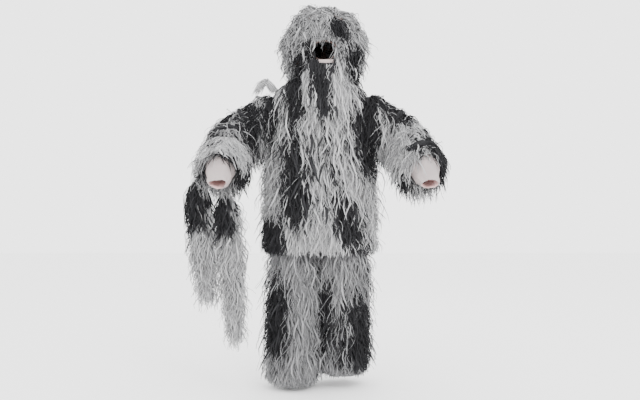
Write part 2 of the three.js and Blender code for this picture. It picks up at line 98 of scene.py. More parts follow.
def mesh_object(name, points, faces, material):
    """A mesh object made from an array of points and an array of faces with the same number of corners."""
    mesh = bpy.data.meshes.new(name)
    count, corners = faces.shape
    mesh.vertices.add(len(points))
    mesh.vertices.foreach_set("co", np.ascontiguousarray(points, np.float32).ravel())
    mesh.loops.add(count * corners)
    mesh.loops.foreach_set("vertex_index", np.ascontiguousarray(faces, np.int32).ravel())
    mesh.polygons.add(count)
    mesh.polygons.foreach_set("loop_start", np.arange(count, dtype=np.int32) * corners)
    mesh.update(calc_edges=True)
    mesh.validate()
    mesh.polygons.foreach_set("use_smooth", np.full(count, True))
    mesh.materials.append(material)
    piece = bpy.data.objects.new(name, mesh)
    bpy.context.collection.objects.link(piece)
    return piece


paper, _, _ = principled("floor_paper", (0.93, 0.93, 0.93), 0.9)
FLOOR_HALF = 9.0
corners = np.array([[-1, -1], [1, -1], [1, 1], [-1, 1]]) * FLOOR_HALF
floor = mesh_object("floor", np.column_stack([corners, np.full(4, FLOOR)]), np.array([[0, 1, 2, 3]]), paper)

world = bpy.data.worlds.new("studio")
world.use_nodes = True
world.node_tree.nodes["Background"].inputs["Color"].default_value = (1, 1, 1, 1)
world.node_tree.nodes["Background"].inputs["Strength"].default_value = 3.3
bpy.context.scene.world = world


def lamp(name, place, target, size, watts):
    """A square area lamp at a place, turned towards a target."""
    data = bpy.data.lights.new(name, "AREA")
    data.size = size
    data.energy = watts
    light = bpy.data.objects.new(name, data)
    light.location = place
    light.rotation_euler = (Vector(target) - Vector(place)).to_track_quat("-Z", "Y").to_euler()
    bpy.context.collection.objects.link(light)


lamp("key_lamp", (1.1, -3.2, 1.6), (0, 0, -0.6), 1.2, 75)
lamp("fill_lamp", (-2.6, -2.6, 0.6), (0, 0, -0.7), 1.8, 10)
lamp("back_lamp", (0.4, 2.8, 2.0), (0, 0, -0.5), 1.6, 25)

# Jacket: a mesh net in two fronts and a back, thick with white yarn, with long streaks of black. It hangs
# straight from the chest to the hips, where its skirt gives way to the thighs. Acrylic yarn is tied to the
# net in locks that have matted, and fine fibres run along each yarn in a light and a dark tone of its colour.

FIBRE_ACROSS = 420                # fibres to a metre across the yarn
FIBRE_ALONG = 26                  # and patches to a metre along it


def add_node(tree, kind, **values):
    """A shader node of one kind in a tree. values sets its inputs by name, with _ for a space."""
    node = tree.nodes.new("ShaderNode" + kind)
    for name, value in values.items():
        node.inputs[name.replace("_", " ")].default_value = value
    return node


MIX_LOW, MIX_HIGH, MIX_RESULT = 6, 7, 2       # the colour sockets of a Mix node


def colour_mix(tree, factor):
    """A node that mixes two colours by a factor, which is a socket."""
    mix = add_node(tree, "Mix")
    mix.data_type = "RGBA"
    tree.links.new(factor, mix.inputs["Factor"])
    return mix


def yarn_group():
    """A node group that turns a dark and a light tone into fibres: colour and height. A fibre's colour lies
    between them by its yarn's tone, which is partly its own and partly painted shade, plus a noise drawn out
    along it."""
    tree = bpy.data.node_groups.new("yarn_fibres", "ShaderNodeTree")
    for name, way, kind in (("Shade", "INPUT", "Color"), ("Light", "INPUT", "Color"),
                            ("Color", "OUTPUT", "Color"), ("Height", "OUTPUT", "Float")):
        tree.interface.new_socket(name=name, in_out=way, socket_type="NodeSocket" + kind)
    inputs, outputs = tree.nodes.new("NodeGroupInput"), tree.nodes.new("NodeGroupOutput")
    place = add_node(tree, "UVMap")
    place.uv_map = "along"
    mapping = add_node(tree, "Mapping", Scale=(FIBRE_ACROSS, FIBRE_ALONG, 1))
    fibres = add_node(tree, "TexNoise", Scale=1.0, Detail=3.0, Roughness=0.6)
    # the yarn's tone: its own random tone, with painted shade in it
    tone_and_shade = add_node(tree, "Attribute")
    tone_and_shade.attribute_name = "tone_and_shade"
    spread = add_node(tree, "MapRange", From_Min=0.35, From_Max=0.65, To_Min=-0.22, To_Max=0.22)
    total = add_node(tree, "Math")
    total.operation = "ADD"
    total.use_clamp = True
    mix = colour_mix(tree, total.outputs["Value"])
    for source, target in (
            (place.outputs["UV"], mapping.inputs["Vector"]),
            (mapping.outputs["Vector"], fibres.inputs["Vector"]),
            (fibres.outputs["Fac"], spread.inputs["Value"]),
            (tone_and_shade.outputs["Fac"], total.inputs[0]),
            (spread.outputs["Result"], total.inputs[1]),
            (inputs.outputs["Shade"], mix.inputs[MIX_LOW]),
            (inputs.outputs["Light"], mix.inputs[MIX_HIGH]),
            (mix.outputs[MIX_RESULT], outputs.inputs["Color"]),
            (fibres.outputs["Fac"], outputs.inputs["Height"])):
        tree.links.new(source, target)
    return tree


YARN_FIBRES = yarn_group()


def fibre_node(tree, shade, light):
    """A copy of the fibre group in a tree, with its two shades."""
    fibres = tree.nodes.new("ShaderNodeGroup")
    fibres.node_tree = YARN_FIBRES
    fibres.inputs["Shade"].default_value = (*shade, 1)
    fibres.inputs["Light"].default_value = (*light, 1)
    return fibres


def bump(tree, shader, height, distance):
    """Raises a shader's surface by a height, at most by a distance."""
    relief = add_node(tree, "Bump", Strength=0.6, Distance=distance)
    tree.links.new(height, relief.inputs["Height"])
    tree.links.new(relief.outputs["Normal"], shader.inputs["Normal"])


def yarn(name, shade, light):
    """Yarn of one colour, from its shade to its light tone."""
    material, tree, shader = principled(name, light, 0.95)
    shader.inputs["Specular IOR Level"].default_value = 0.15
    fibres = fibre_node(tree, shade, light)
    tree.links.new(fibres.outputs["Color"], shader.inputs["Base Color"])
    bump(tree, shader, fibres.outputs["Height"], 0.002)
    return material


def matted(name, shade, light):
    """Matted yarn for a ground: its own colour, and black yarn where the attribute dark is 1."""
    material, tree, shader = principled(name, light, 0.95)
    shader.inputs["Specular IOR Level"].default_value = 0.15
    pale = fibre_node(tree, shade, light)
    black = fibre_node(tree, BLACK_SHADE, BLACK_LIGHT)
    dark = add_node(tree, "Attribute")
    dark.attribute_name = "dark"
    mix = colour_mix(tree, dark.outputs["Fac"])
    tree.links.new(pale.outputs["Color"], mix.inputs[MIX_LOW])
    tree.links.new(black.outputs["Color"], mix.inputs[MIX_HIGH])
    tree.links.new(mix.outputs[MIX_RESULT], shader.inputs["Base Color"])
    bump(tree, shader, pale.outputs["Height"], 0.002)
    return material


def draws(seed):
    """A stream of random numbers of its own, the same every time."""
    return np.random.default_rng(seed)


# Each yarn runs from a shade to a light tone of its colour, and the painted shade in its tone draws it towards
# the shade end
BLACK_SHADE = (0.004, 0.004, 0.005)
BLACK_LIGHT = (0.027, 0.027, 0.029)
WHITE_YARN = yarn("white_yarn_locks", (0.080, 0.080, 0.083), (0.46, 0.46, 0.465))
BLACK_YARN = yarn("black_yarn_locks", BLACK_SHADE, BLACK_LIGHT)
WHITE_MAT = matted("white_matted_yarn", (0.065, 0.065, 0.068), (0.38, 0.38, 0.385))


def form(start, end, stations, across):
    """A tube from start to end. Each station is [share of the way, half width, half depth]."""
    a, b = np.array(start, float), np.array(end, float)
    along = (b - a) / np.linalg.norm(b - a)
    across = np.array(across, float)
    across = across - along * (across @ along)
    across /= np.linalg.norm(across)
    return dict(a=a, b=b, along=along, across=across, deep=np.cross(across, along),
                at=[s[0] for s in stations], wide=[s[1] for s in stations], depth=[s[2] for s in stations])


def upright(outline, x=0.0):
    """A form about a vertical line, from an outline of [height, half width, half depth], highest first."""
    top, low = outline[0][0], outline[-1][0]
    stations = [[(top - height) / (top - low), wide, deep] for height, wide, deep in outline]
    return form((x, 0, top), (x, 0, low), stations, (1, 0, 0))


def on_form(shape, turn, share, lift):
    """Points on a form. A turn of 0 is at the front, and a quarter is on the side that across points to."""
    spine = shape["a"] + share[..., None] * (shape["b"] - shape["a"])
    wide = np.interp(share, shape["at"], shape["wide"]) + lift
    deep = np.interp(share, shape["at"], shape["depth"]) + lift
    angle = 2 * math.pi * turn
    facing = shape["deep"] if shape["deep"][1] < 0 else -shape["deep"]
    return (spine + (wide * np.sin(angle))[..., None] * shape["across"]
            + (deep * np.cos(angle))[..., None] * facing)


def push_out(points, shape, lift):
    """Points inside a form, or nearer than lift to it, are moved straight out of its section."""
    line = shape["b"] - shape["a"]
    raw = (points - shape["a"]) @ line / (line @ line)
    share = np.clip(raw, 0, 1)
    spine = shape["a"] + share[..., None] * line
    gap = points - spine
    x, y = gap @ shape["across"], gap @ shape["deep"]
    wide = np.interp(share, shape["at"], shape["wide"]) + lift
    deep = np.interp(share, shape["at"], shape["depth"]) + lift
    ratio = np.sqrt((x / wide) ** 2 + (y / deep) ** 2)
    short = (ratio < 1) & (raw > -0.02) & (raw < 1.02)
    grow = np.where(short, 1 / np.maximum(ratio, 0.2) - 1, 0)
    return points + (x * grow)[..., None] * shape["across"] + (y * grow)[..., None] * shape["deep"]


def unit(vectors):
    """Vectors made one long, along their last axis."""
    return vectors / np.maximum(np.linalg.norm(vectors, axis=-1, keepdims=True), 1e-9)


BODY = upright([[0.0, 0.108, 0.106], [-0.025, 0.165, 0.137], [-0.053, 0.200, 0.155], [-0.105, 0.203, 0.163],
                [-0.185, 0.211, 0.172], [-0.285, 0.222, 0.172], [-0.425, 0.232, 0.172],
                [-0.550, 0.240, 0.172], [-0.705, 0.248, 0.176], [-0.810, 0.250, 0.180]])

# A black patch is a lens of black yarn on a garment: its middle, its half width, its top and bottom, how far
# its foot is shifted sideways, and the side of the suit that it is on.
FRONT, BACK = -1, 1
JACKET_PATCHES = [
    (-0.105, 0.052, -0.165, -0.650, 0.00, FRONT), (0.205, 0.072, -0.020, -0.400, 0.02, FRONT),
    (0.118, 0.052, -0.470, -0.745, 0.05, FRONT), (-0.098, 0.036, 0.070, -0.170, 0.00, FRONT),
    (-0.215, 0.050, -0.580, -0.800, 0.00, FRONT), (0.190, 0.052, -0.720, -0.840, 0.02, FRONT),
    (0.030, 0.012, -0.170, -0.330, 0.01, FRONT), (0.060, 0.016, -0.330, -0.500, 0.03, FRONT),
    (-0.020, 0.060, -0.100, -0.480, 0.03, BACK), (0.160, 0.055, -0.300, -0.760, -0.03, BACK),
    (-0.190, 0.055, -0.150, -0.420, 0.00, BACK), (-0.110, 0.050, -0.560, -0.820, 0.02, BACK),
]


def blackness(points, patches, ragged):
    """How black the yarn is at some points, above 0.5 inside a patch. A patch narrows towards its ends, and
    ragged shifts its edge in and out."""
    best = np.zeros(points.shape[:-1])
    for middle, half, top, low, shift, side in patches:
        down = np.clip((top - points[..., 2]) / (top - low), -0.5, 1.5)
        bulge = np.clip(1.25 * (1 - np.abs(2 * down - 1) ** 3), -1, 1)
        reach = np.abs(points[..., 0] - middle - shift * (down - 0.5)) / half
        faces = 1 / (1 + np.exp(-np.clip(side * points[..., 1] / 0.015, -30, 30)))
        best = np.maximum(best, (0.5 + 0.9 * (bulge - reach) + ragged) * faces)
    return np.clip(best, 0, 1)


def folds(turn, share, length, around, random):
    """Soft folds that run down a garment, as ridges of several widths that sway and merge, from 0 to 1."""
    height = np.zeros(np.broadcast(turn, share).shape)
    down = share * length
    for ridges, weight in ((5, 0.8), (9, 1.0), (14, 0.8), (23, 0.5)):
        sway = sum(random.uniform(0.3, 1.0) * np.sin(2 * math.pi * (down * pitch + random.random()))
                   for pitch in (1.7, 3.9, 7.3))
        phase = random.random()
        number = max(round(ridges * around / 0.9), 2)
        wave = np.abs(np.sin(math.pi * (number * turn + phase) + 0.8 * sway))
        strong = 0.6 + 0.4 * np.sin(2 * math.pi * (down * 4.3 + 3 * turn + random.random()))
        height = height + weight * wave * strong
    return height / 2.2


def tumble(points, random, size):
    """Smooth lumps in space about as large as size, from -1 to 1."""
    total = np.zeros(points.shape[:-1])
    for _ in range(7):
        direction = unit(random.normal(size=3)) * 2 * math.pi / (size * random.uniform(0.8, 1.7))
        total += np.sin(points @ direction + random.uniform(0, 2 * math.pi))
    return total / 3.2


def set_values(piece, name, values):
    """Stores one number for each point of a piece."""
    layer = piece.data.attributes.new(name, "FLOAT", "POINT")
    layer.data.foreach_set("value", np.ascontiguousarray(values, np.float32).ravel())


def set_along(piece, across, along):
    """Stores the map that the fibres follow: metres across and along, one pair for each point."""
    layer = piece.data.uv_layers.new(name="along")
    corner = np.empty(len(piece.data.loops), np.int32)
    piece.data.loops.foreach_get("vertex_index", corner)
    pairs = np.column_stack([np.ravel(across), np.ravel(along)])[corner]
    layer.data.foreach_set("uv", np.ascontiguousarray(pairs, np.float32).ravel())


def ground(name, shape, patches, material, seed, turns=(0, 1), shares=(0, 1), lift=-0.018, depth=0.026,
           rim=0.012, step=0.009, reshape=None):
    """A closed shell that follows a form: folded outside, plain inside, rim thick. turns and shares say
    which part of the form it covers, and reshape may bend the finished points. Its colour carries painted
    shade: darker in the hollows of its folds and lumps, and darker still inside."""
    random = draws(seed)
    length = float(np.linalg.norm(shape["b"] - shape["a"]))
    girth = 2 * math.pi * float(np.mean(shape["wide"] + shape["depth"]))
    whole = turns[1] - turns[0] >= 1
    columns = max(int(girth * (turns[1] - turns[0]) / step), 8)
    rows = max(int(length * (shares[1] - shares[0]) / step), 4)
    turn = np.linspace(*turns, columns, endpoint=not whole)[None, :] + np.zeros((rows + 1, 1))
    share = np.linspace(*shares, rows + 1)[:, None] + np.zeros((1, columns))
    fold = folds(turn, share, length, girth, random)
    plain = on_form(shape, turn, share, lift + 0 * turn)
    lumps = tumble(plain, random, 0.09)
    outer = on_form(shape, turn, share, lift + depth * (fold - 0.45) + 0.35 * depth * lumps)
    inner = on_form(shape, turn, share, lift - rim + 0 * turn)
    grids = np.stack([outer, inner])
    if reshape:
        grids = reshape(grids)
    ragged = 0.55 * tumble(outer * [1, 1, 0.3], random, 0.030)
    dark = np.clip(6 * (blackness(outer, patches, ragged) - 0.5) + 0.5, 0, 1)
    # painted shade: the yarn is lighter on the ridges of the folds and lumps and darker in their hollows
    tone_and_shade = np.clip(0.36 + 0.50 * fold + 0.12 * lumps, 0, 1)
    number = np.arange(grids[..., 0].size).reshape(grids.shape[:3])
    a, b = number
    if whole:
        a, b = np.hstack([a, a[:, :1]]), np.hstack([b, b[:, :1]])
    quads = [np.stack([a[:-1, :-1], a[:-1, 1:], a[1:, 1:], a[1:, :-1]], -1),
             np.stack([b[:-1, :-1], b[1:, :-1], b[1:, 1:], b[:-1, 1:]], -1),
             np.stack([a[0, :-1], b[0, :-1], b[0, 1:], a[0, 1:]], -1),
             np.stack([a[-1, :-1], a[-1, 1:], b[-1, 1:], b[-1, :-1]], -1)]
    if not whole:
        quads += [np.stack([a[:-1, 0], a[1:, 0], b[1:, 0], b[:-1, 0]], -1),
                  np.stack([a[:-1, -1], b[:-1, -1], b[1:, -1], a[1:, -1]], -1)]
    faces = np.concatenate([q.reshape(-1, 4) for q in quads])
    if np.dot(np.cross(shape["across"], shape["along"]), on_form(shape, np.array(0.0), np.array(0.5),
                                                                 np.array(0.0)) - shape["a"]) > 0:
        faces = faces[:, ::-1]
    piece = mesh_object(name, grids.reshape(-1, 3), faces, material)
    set_values(piece, "dark", np.stack([dark, dark]))
    # painted shade: the inside of the shell is painted darker than its outside
    set_values(piece, "tone_and_shade", np.stack([tone_and_shade, 0.3 * tone_and_shade]))
    set_along(piece, np.stack([turn * girth] * 2), np.stack([share * length] * 2))
    return piece


def hang(roots, outward, length, steps, lift, random, pushes, sway=0.35, start=0.45, weight=0.55):
    """The paths of hanging yarns. Each starts along the surface with some of its outward direction, turns
    down under its weight, wanders, and is moved out of the forms. Returns (yarns, steps + 1, 3)."""
    count = len(roots)
    down = np.array([0, 0, -1.0])
    slide = down - outward * (outward @ down)[:, None]
    heading = unit(slide + start * outward + 0.35 * random.normal(size=(count, 3)))
    wander = random.uniform(0, 2 * math.pi, (2, count, 3))
    pace = random.uniform(0.5, 1.5, (2, count, 3))
    paths = [roots]
    for k in range(steps):
        curl = np.sin(wander[0] + pace[0] * (k + 1)) + 0.6 * np.sin(wander[1] + 2.2 * pace[1] * (k + 1))
        heading = unit(heading * (1 - 0.5 * weight) + weight * down + sway * curl * [1, 1, 0.5])
        point = paths[-1] + heading * (length / steps)[:, None]
        for push in pushes:
            point = push(point, lift)
        paths.append(point)
    return np.stack(paths, 1)


LOCK_TAPER = ([0, 0.12, 0.5, 0.85, 1], [0.45, 1, 0.85, 0.5, 0.12])
YARN_TAPER = ([0, 1], [1, 0.55])


def strands(name, paths, width, flat, sides, taper, material, random, tones=(0.45, 1.0)):
    """Yarns or locks as tubes about their paths, flat ones lying on the garment. Each has a tone of its
    own, and painted shade darkens it towards its root."""
    count, rings, _ = paths.shape
    tangent = unit(np.gradient(paths, axis=1))
    away = unit(paths * [1, 1, 0.1] + 1e-6) + 0.15 * random.normal(size=(count, 1, 3))
    aside = unit(np.cross(tangent, away))
    outward = np.cross(aside, tangent)
    share = np.linspace(0, 1, rings)
    size = width[:, None] * np.interp(share, *taper)[None, :] / 2
    angle = 2 * math.pi * np.arange(sides) / sides
    around = (np.cos(angle)[:, None] * aside[:, :, None, :]
              + flat * np.sin(angle)[:, None] * outward[:, :, None, :])
    points = paths[:, :, None, :] + size[:, :, None, None] * around
    number = np.arange(count * rings * sides).reshape(count, rings, sides)
    beside = np.roll(number, -1, 2)
    quads = np.stack([number[:, :-1], beside[:, :-1], beside[:, 1:], number[:, 1:]], -1).reshape(-1, 4)
    piece = mesh_object(name, points.reshape(-1, 3), quads, material)
    # painted shade: each yarn is painted darker near its root, where the yarn around it shades it
    painted_root_shade = np.interp(share, [0, 0.25, 1], [0.75, 0.95, 1.0])[None, :, None]
    tone_and_shade = random.uniform(*tones, (count, 1, 1)) * painted_root_shade
    set_values(piece, "tone_and_shade", tone_and_shade + 0 * number)
    reach = np.linalg.norm(np.diff(paths, axis=1), axis=-1).sum(1)
    across = (width[:, None, None] * np.abs(np.arange(sides) / sides - 0.5) * 2
              + random.uniform(0, 9, (count, 1, 1)))
    set_along(piece, across + 0 * number, (share[None, :, None] * reach[:, None, None]) + 0 * number)
    return piece


def scatter(shape, count, random, turns=(0, 1), shares=(0, 1), lift=-0.004):
    """Random points on part of a form, with the direction straight out of it at each."""
    turn = random.uniform(*turns, count)
    share = random.uniform(*shares, count)
    roots = on_form(shape, turn, share, lift + 0 * turn)
    outward = unit(on_form(shape, turn, share, 0.05 + 0 * turn) - on_form(shape, turn, share, 0 * turn))
    return roots, outward


def together(*scattered):
    """The points and directions of several scatters as one set."""
    return [np.vstack(arrays) for arrays in zip(*scattered)]


YARN_STEPS = 5                    # straight pieces in a hanging yarn
BLACK_FROM = 0.42                 # how black a root has to be for black yarn
FLAT_LOCK = 0.45                  # how thick a lock is, as a share of its width


def fleece(name, roots, outward, patches, material, seed, pushes, move, lock=(0.006, 0.017),
           yarns=(0.0020, 0.0042), lock_length=(0.09, 0.22), yarn_length=(0.06, 0.18), share_of_locks=0.30,
           sway=0.35, spread=0.004, slot="white_yarn", start=0.45, ragged=0.5, lowest=FLOOR, weight=0.55,
           tones=(0.45, 1.0)):
    """Locks and single yarns at some roots, black where a patch is and pale elsewhere. move says which body
    each finished piece rides on. Every piece is one colour, and ends above lowest."""
    random = draws(seed)
    shift = ragged * tumble(roots * [1, 1, 0.3], draws(seed + 1), 0.030)
    black = blackness(roots, patches, shift + random.normal(0, 0.08, len(roots))) > BLACK_FROM
    thick = random.random(len(roots)) < share_of_locks
    made = []
    for colour, chosen, cloth, finish in (("pale", ~black, material, slot),
                                          ("black", black, BLACK_YARN, "black_yarn")):
        for kind, picked in (("locks", chosen & thick), ("yarns", chosen & ~thick)):
            count = int(picked.sum())
            if count < 3:
                continue
            is_lock = kind == "locks"
            length = random.uniform(*(lock_length if is_lock else yarn_length), count)
            room = roots[picked, 2] - lowest - random.uniform(0, 0.035, count)
            length = np.clip(length, 0.012, np.maximum(room, 0.018))
            lift = (random.uniform(-0.018, spread, count) + (0 if is_lock else 0.003)
                    + (0.005 if colour == "black" else 0))
            paths = hang(roots[picked], outward[picked], length, YARN_STEPS, lift, random, pushes,
                         sway if is_lock else 1.6 * sway, start if is_lock else 1.3 * start, weight)
            paths = np.clip(paths, ROOM[0], ROOM[1])
            width = random.uniform(*(lock if is_lock else yarns), count)
            piece = strands(f"{name}_{colour}_{kind}", paths, width, FLAT_LOCK if is_lock else 1.0,
                            4 if is_lock else 3, LOCK_TAPER if is_lock else YARN_TAPER, cloth, random, tones)
            move(piece)
            made.append(piece)
    return made


FULL_DENSITY, QUICK_DENSITY = 0.9, 0.3


def density(number):
    return int(number * FULL_DENSITY)


def riding(body):
    """Makes a piece ride on one body."""
    return lambda piece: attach(piece, body)


def bending():
    """Makes a piece stay where it is: its place is baked into its points, and it rides on no body."""
    return lambda piece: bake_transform(piece)


def clear_of(shape):
    """A push that keeps hanging yarn out of a form."""
    return lambda points, lift: push_out(points, shape, lift)


push_body = clear_of(BODY)
BODY_LENGTH = 0.810
JACKET_TONES = (0.60, 1.0)        # the jacket is a little whiter than the hood and the sleeves
SLEEVE_TONES = {"right": (0.26, 0.74), "left": (0.45, 0.92)}
HOOD_TONES = (0.22, 0.68)
at_height = lambda height: -height / BODY_LENGTH
FLAP_HALF, CHEST_HALF = 0.020, 0.245
FLAP_TURN = math.asin(FLAP_HALF / CHEST_HALF) / (2 * math.pi)
SKIRT_TOP, FLAP_TOP = -0.550, -0.193

jacket = ground("jacket_ground", BODY, JACKET_PATCHES, WHITE_MAT, 11, turns=(FLAP_TURN, 1 - FLAP_TURN),
                shares=(at_height(-0.016), at_height(SKIRT_TOP - 0.004)))
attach(jacket, "jacket")
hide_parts("jacket_back_pile", "jacket_right_front_pile", "jacket_left_front_pile")

bib = ground("jacket_bib", BODY, JACKET_PATCHES, WHITE_MAT, 12, turns=(-1.4 * FLAP_TURN, 1.4 * FLAP_TURN),
             shares=(at_height(-0.016), at_height(FLAP_TOP)))
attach(bib, "jacket")

roots, outward = scatter(BODY, density(9800), draws(13), (0.02, 0.98),
                         (0.02, at_height(SKIRT_TOP)))
fleece("jacket", roots, outward, JACKET_PATCHES, WHITE_YARN, 14, [push_body], riding("jacket"),
       tones=JACKET_TONES)
roots, outward = scatter(BODY, density(420), draws(15), (-0.02, 0.02),
                         (0.02, at_height(FLAP_TOP)))
fleece("bib", roots, outward, JACKET_PATCHES, WHITE_YARN, 16, [push_body], riding("jacket"), tones=JACKET_TONES,
       lock_length=(0.05, 0.10), yarn_length=(0.04, 0.09))

# Snap flap: a strip of cloth with the same yarn tied to it, down the middle of the chest. One long edge is
# sewn to the jacket's front, and four snaps hold the other.

flap = ground("flap_ground", BODY, JACKET_PATCHES, WHITE_MAT, 21, turns=(-FLAP_TURN * 0.85, FLAP_TURN),
              shares=(at_height(FLAP_TOP), at_height(-0.545)), lift=-0.006, rim=0.006, depth=0.012)
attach(flap, "front_flap")
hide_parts("flap_pile")
roots, outward = scatter(BODY, density(420), draws(22), (-0.012, 0.013),
                         (at_height(FLAP_TOP), at_height(-0.50)))
fleece("flap", roots, outward, JACKET_PATCHES, WHITE_YARN, 23, [push_body], riding("front_flap"),
       lock_length=(0.05, 0.10), yarn_length=(0.04, 0.09), sway=0.18, tones=JACKET_TONES)

# Skirt of the jacket: its lower half, of the same net and yarn, parted at the front and back. Its hem is a
# ragged fringe that hangs over the thighs and gives way to them.

for seed, (side, turns) in enumerate((("left", (0.0, 0.5)), ("right", (0.5, 1.0)))):
    bend = bending()
    skirt = ground(f"{side}_skirt_ground", BODY, JACKET_PATCHES, WHITE_MAT, 31 + seed, turns=turns,
                   shares=(at_height(SKIRT_TOP), 0.95))
    bend(skirt)
    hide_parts(f"jacket_{side}_skirt")
    random = draws(33 + seed)
    roots, outward = together(scatter(BODY, density(2500), random, turns, (at_height(SKIRT_TOP), 0.95)),
                              scatter(BODY, density(500), random, turns, (0.88, 0.955)))
    fleece(f"{side}_skirt", roots, outward, JACKET_PATCHES, WHITE_YARN, 35 + seed, [push_body], bend,
           lock_length=(0.06, 0.15), yarn_length=(0.05, 0.13), lowest=-0.835, tones=JACKET_TONES)

# Hood: a rounded hood of dark net, tufted all over with yarn tied so close that it stands in lumps. The eye
# opening is cut in it and bound, and the dark net shows inside.

HOOD = upright([[0.245, 0.155, 0.143], [0.175, 0.181, 0.165], [0.115, 0.178, 0.163], [0.055, 0.160, 0.152],
                [0.012, 0.142, 0.142], [-0.053, 0.166, 0.150]], x=0.018)
CROWN_MIDDLE = np.array([0.022, 0.0, 0.165])
CROWN_HALF = np.array([0.181, 0.165, 0.180])
HOOD_LUMP = 0.020


def hood_lumps(points):
    """How far the hood's tufts stand out at some points."""
    return HOOD_LUMP * tumble(points, draws(45), 0.115)


def push_out_of_crown(points, lift):
    """Points inside the rounded crown of the hood, or nearer than lift, are moved out from its middle."""
    gap = points - CROWN_MIDDLE
    ratio = np.linalg.norm(gap / (CROWN_HALF + (lift + hood_lumps(points))[..., None]), axis=-1)
    inside = (ratio < 1) & (gap[..., 2] > 0)
    return CROWN_MIDDLE + gap * np.where(inside, 1 / np.maximum(ratio, 0.2), 1)[..., None]


HOOD_PATCHES = [
    (0.085, 0.030, 0.275, 0.190, 0.05, FRONT), (0.145, 0.026, 0.200, 0.040, 0.03, FRONT),
    (-0.086, 0.026, 0.150, -0.020, -0.02, FRONT), (0.165, 0.022, 0.080, -0.050, 0.02, FRONT),
    (-0.040, 0.050, 0.260, 0.050, 0.03, BACK), (0.110, 0.040, 0.180, -0.040, 0.00, BACK),
]
EYE_MIDDLE = np.array([0.019, 0.122])
EYE_HALF = np.array([0.061, 0.046])


def crown_ground(name, patches, material, seed):
    """The crown and sides of the hood as one shell with a hole for the eyes. Its points run from the top
    down, and the faces inside the hole are left out. Its colour carries painted shade: darker in the hollows
    of its folds and lumps, and darker still inside."""
    random = draws(seed)
    columns, rows = 150, 76
    turn = np.arange(columns)[None, :] / columns + np.zeros((rows + 1, 1))
    down = np.linspace(0.02, 1, rows + 1)[:, None] + np.zeros((1, columns))
    polar = np.clip(down / 0.5, 0, 1) * math.pi / 2
    angle = 2 * math.pi * turn
    tip = np.stack([np.sin(angle) * np.sin(polar), -np.cos(angle) * np.sin(polar), np.cos(polar)], -1)
    direction = unit(tip)
    share = np.clip((down - 0.5) / 0.5, 0, 1) * 0.77 + 0.23
    fold = folds(turn, down, 0.5, 0.9, random)
    lumps = hood_lumps(CROWN_MIDDLE + tip * CROWN_HALF)
    layers = []
    for lift in (np.maximum(-0.012 + 0.014 * (fold - 0.4) + lumps, -0.022), -0.026 + 0 * fold):
        dome = CROWN_MIDDLE + direction * (CROWN_HALF + lift[..., None])
        tube = on_form(HOOD, turn, share, lift)
        layers.append(np.where((down <= 0.5)[..., None], dome, tube))
    outer, inner = layers
    gap = (outer[..., [0, 2]] - EYE_MIDDLE) / EYE_HALF
    far = np.linalg.norm(gap, axis=-1)
    in_hole = (far < 1) & (outer[..., 1] < 0)
    ragged = 0.5 * tumble(outer * [1, 1, 0.3], random, 0.030)
    dark = np.clip(6 * (blackness(outer, patches, ragged) - 0.5) + 0.5, 0, 1)
    # painted shade: the yarn is lighter on the ridges of the folds and lumps and darker in their hollows
    tone_and_shade = np.clip(0.30 + 0.5 * fold + 8 * lumps, 0, 1)
    number = np.arange(2 * outer[..., 0].size).reshape(2, rows + 1, columns)
    a, b = (np.hstack([x, x[:, :1]]) for x in number)
    hole = np.hstack([in_hole, in_hole[:, :1]])
    solid = ~(hole[:-1, :-1] | hole[:-1, 1:] | hole[1:, 1:] | hole[1:, :-1])
    quads = [np.stack([a[:-1, :-1], a[1:, :-1], a[1:, 1:], a[:-1, 1:]], -1)[solid],
             np.stack([b[:-1, :-1], b[:-1, 1:], b[1:, 1:], b[1:, :-1]], -1)[solid],
             np.stack([a[-1, :-1], b[-1, :-1], b[-1, 1:], a[-1, 1:]], -1),
             np.stack([a[0, :-1], a[0, 1:], b[0, 1:], b[0, :-1]], -1)]
    faces = np.concatenate([q.reshape(-1, 4) for q in quads])
    piece = mesh_object(name, np.stack(layers).reshape(-1, 3), faces, material)
    set_values(piece, "dark", np.stack([dark, dark]))
    # painted shade: the inside of the shell is painted darker than its outside
    set_values(piece, "tone_and_shade", np.stack([tone_and_shade, 0.2 * tone_and_shade]))
    set_along(piece, np.stack([turn] * 2), np.stack([down * 0.5] * 2))
    return piece


hood = crown_ground("hood_ground", HOOD_PATCHES, WHITE_MAT, 41)
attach(hood, "hood")
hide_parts("hood_pile")

push_hood = clear_of(HOOD)
random = draws(42)
count = density(3300)
direction = unit(random.normal(size=(count, 3)) * [1, 1, 0.9])
direction[:, 2] = np.abs(direction[:, 2])
crown_roots = CROWN_MIDDLE + direction * (CROWN_HALF - 0.010)
crown_roots += direction * hood_lumps(crown_roots)[:, None]
side_roots, side_out = scatter(HOOD, density(2300), random, (0, 1), (0.25, 0.97))
roots, outward = np.vstack([crown_roots, side_roots]), np.vstack([direction, side_out])
beside = np.abs(roots[:, 0] - EYE_MIDDLE[0]) / EYE_HALF[0]
rise = (roots[:, 2] - EYE_MIDDLE[1]) / EYE_HALF[1]
in_front = roots[:, 1] < 0
clear = ~(in_front & (beside < 1.02) & (rise < np.sqrt(np.maximum(1 - (beside / 1.02) ** 2, 0)) + 0.05))
above = in_front & (beside < 1.1) & (rise > 0)
open_roots = clear & ~(above & (rise < 3.8))
fleece("hood", roots[open_roots], outward[open_roots], HOOD_PATCHES, WHITE_YARN, 43,
       [push_out_of_crown, push_hood], riding("hood"), lock=(0.006, 0.016), lock_length=(0.05, 0.11),
       yarn_length=(0.03, 0.10), sway=0.5, start=0.6, spread=0.010, tones=HOOD_TONES)

